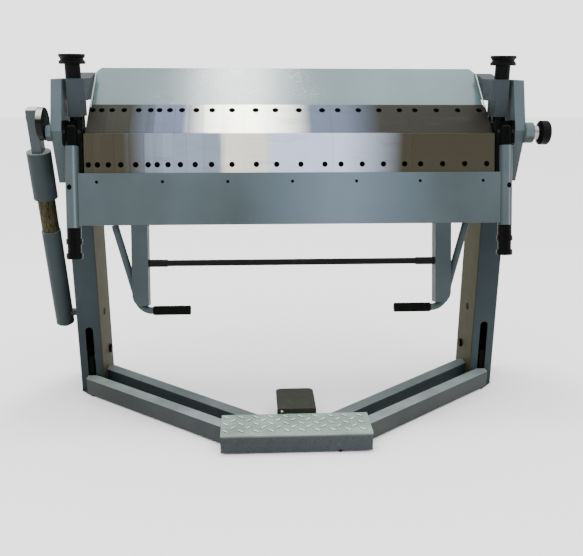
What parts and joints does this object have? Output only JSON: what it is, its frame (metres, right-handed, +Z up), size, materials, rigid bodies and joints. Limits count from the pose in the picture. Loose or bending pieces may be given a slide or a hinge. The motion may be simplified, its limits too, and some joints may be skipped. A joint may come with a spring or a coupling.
{
  "type": "box and pan brake",
  "caption": "Floor-standing sheet metal folder: a clamping beam with bolted finger segments, a swinging folding leaf with a balance strut, and a foot treadle.",
  "frame": {"origin": "on the floor, at the centre of the four holes that bolt the legs down", "axes": "+X to the right along the fold line, +Y to the back of the machine, +Z up"},
  "size_m": [1.6523, 0.649, 1.146],
  "materials": {
    "paint": "satin blue-grey enamel",
    "finger_steel": "ground, grain along the width",
    "black_steel": "blackened, satin",
    "black_knob": "satin black",
    "grip_rubber": "ribbed, matte",
    "bright_steel": "turned bright steel",
    "bare_tube": "oiled bare tube"
  },
  "bodies": {
    "frame": {"leg_left": "paint", "leg_right": "paint", "side_plate_left": "paint", "side_plate_right": "paint", "bed_beam": "paint", "stop_posts": "black_steel", "strut_foot_pin": "paint", "treadle_pivot_bolts": "black_steel", "lock_collar": "bright_steel"},
    "clamp": {"clamp_beam": "paint", "clamp_bracket_left": "paint", "clamp_bracket_right": "paint", "upper_segment_screws": "black_steel", "lift_rods": "bright_steel", "upper_segments_25": "finger_steel", "upper_segments_30": "finger_steel", "upper_segments_35": "finger_steel", "upper_segments_40": "finger_steel", "upper_segments_50": "finger_steel", "upper_segments_75": "finger_steel", "upper_segments_200": "finger_steel", "upper_segments_250": "finger_steel", "upper_segments_260": "finger_steel"},
    "leaf": {"leaf_beam": "paint", "leaf_segment_screws": "black_steel", "leaf_tubes": "paint", "pivot_caps": "black_steel", "pivot_hub_left": "black_steel", "pivot_hub_right": "black_steel", "handle_arms": "paint", "handle_stays": "paint", "handle_grips": "grip_rubber", "pull_bar": "black_steel", "crank": "black_steel", "leaf_segments_25": "finger_steel", "leaf_segments_30": "finger_steel", "leaf_segments_35": "finger_steel", "leaf_segments_40": "finger_steel", "leaf_segments_50": "finger_steel", "leaf_segments_75": "finger_steel", "leaf_segments_200": "finger_steel", "leaf_segments_250": "finger_steel", "leaf_segments_260": "finger_steel"},
    "treadle": {"treadle_front_tubes": "paint", "treadle_rear_tubes": "paint", "treadle_arms": "bright_steel", "step_bearer": "paint", "step_plate": "paint", "heel_plate": "black_steel"},
    "strut_lower": {"strut_lower_tube": "paint", "strut_inner_tube": "bare_tube"},
    "strut_upper": {"strut_sleeve": "paint", "strut_rod": "paint", "crank_pin": "bright_steel"},
    "clamp_knob_left": {"clamp_knob_left": "black_knob"},
    "clamp_knob_right": {"clamp_knob_right": "black_knob"},
    "leaf_adjuster_left": {"leaf_adjuster_left": "black_knob"},
    "leaf_adjuster_right": {"leaf_adjuster_right": "black_knob"},
    "lock_knob": {"lock_knob": "black_knob"}
  },
  "joints": [
    {"name": "clamp_lift", "type": "slide", "parent": "frame", "child": "clamp", "axis": [0, 0, 1], "range_m": [0, 0.045]},
    {"name": "leaf_fold", "type": "hinge", "parent": "frame", "child": "leaf", "pos_m": [0, -0.194, 0.912], "axis": [-1, 0, 0], "range_deg": [0, 135]},
    {"name": "treadle_pivot", "type": "hinge", "parent": "frame", "child": "treadle", "pos_m": [0, 0.035, 0.112], "axis": [-1, 0, 0], "range_deg": [0, 25.4]},
    {"name": "strut_swing", "type": "hinge", "parent": "frame", "child": "strut_lower", "pos_m": [-0.799, -0.008, 0.27], "axis": [1, 0, 0], "range_deg": [0, 4.65]},
    {"name": "strut_slide", "type": "slide", "parent": "strut_lower", "child": "strut_upper", "axis": [0, -0.2147, 0.9767], "range_m": [-0.09173, 0]},
    {"name": "clamp_knob_left_turn", "type": "hinge", "parent": "clamp", "child": "clamp_knob_left", "pos_m": [-0.674, -0.131, 1.1], "axis": [0, 0, 1], "continuous": true},
    {"name": "clamp_knob_right_turn", "type": "hinge", "parent": "clamp", "child": "clamp_knob_right", "pos_m": [0.674, -0.131, 1.1], "axis": [0, 0, 1], "continuous": true},
    {"name": "leaf_adjuster_left_turn", "type": "hinge", "parent": "leaf", "child": "leaf_adjuster_left", "pos_m": [-0.6745, -0.27952, 0.58821], "axis": [0, 0.225, 0.9744], "continuous": true},
    {"name": "leaf_adjuster_right_turn", "type": "hinge", "parent": "leaf", "child": "leaf_adjuster_right", "pos_m": [0.6745, -0.27952, 0.58821], "axis": [0, 0.225, 0.9744], "continuous": true},
    {"name": "lock_knob_turn", "type": "hinge", "parent": "frame", "child": "lock_knob", "pos_m": [0.78, -0.194, 0.912], "axis": [1, 0, 0], "continuous": true}
  ],
  "couplings": [
    {"joint": "treadle_pivot", "follows": "clamp_lift", "rad_per_m": 9.8305},
    {"joint": "strut_swing", "follows": "leaf_fold", "ratio": 0.034065},
    {"joint": "strut_slide", "follows": "leaf_fold", "m_per_rad": -0.038721}
  ]
}
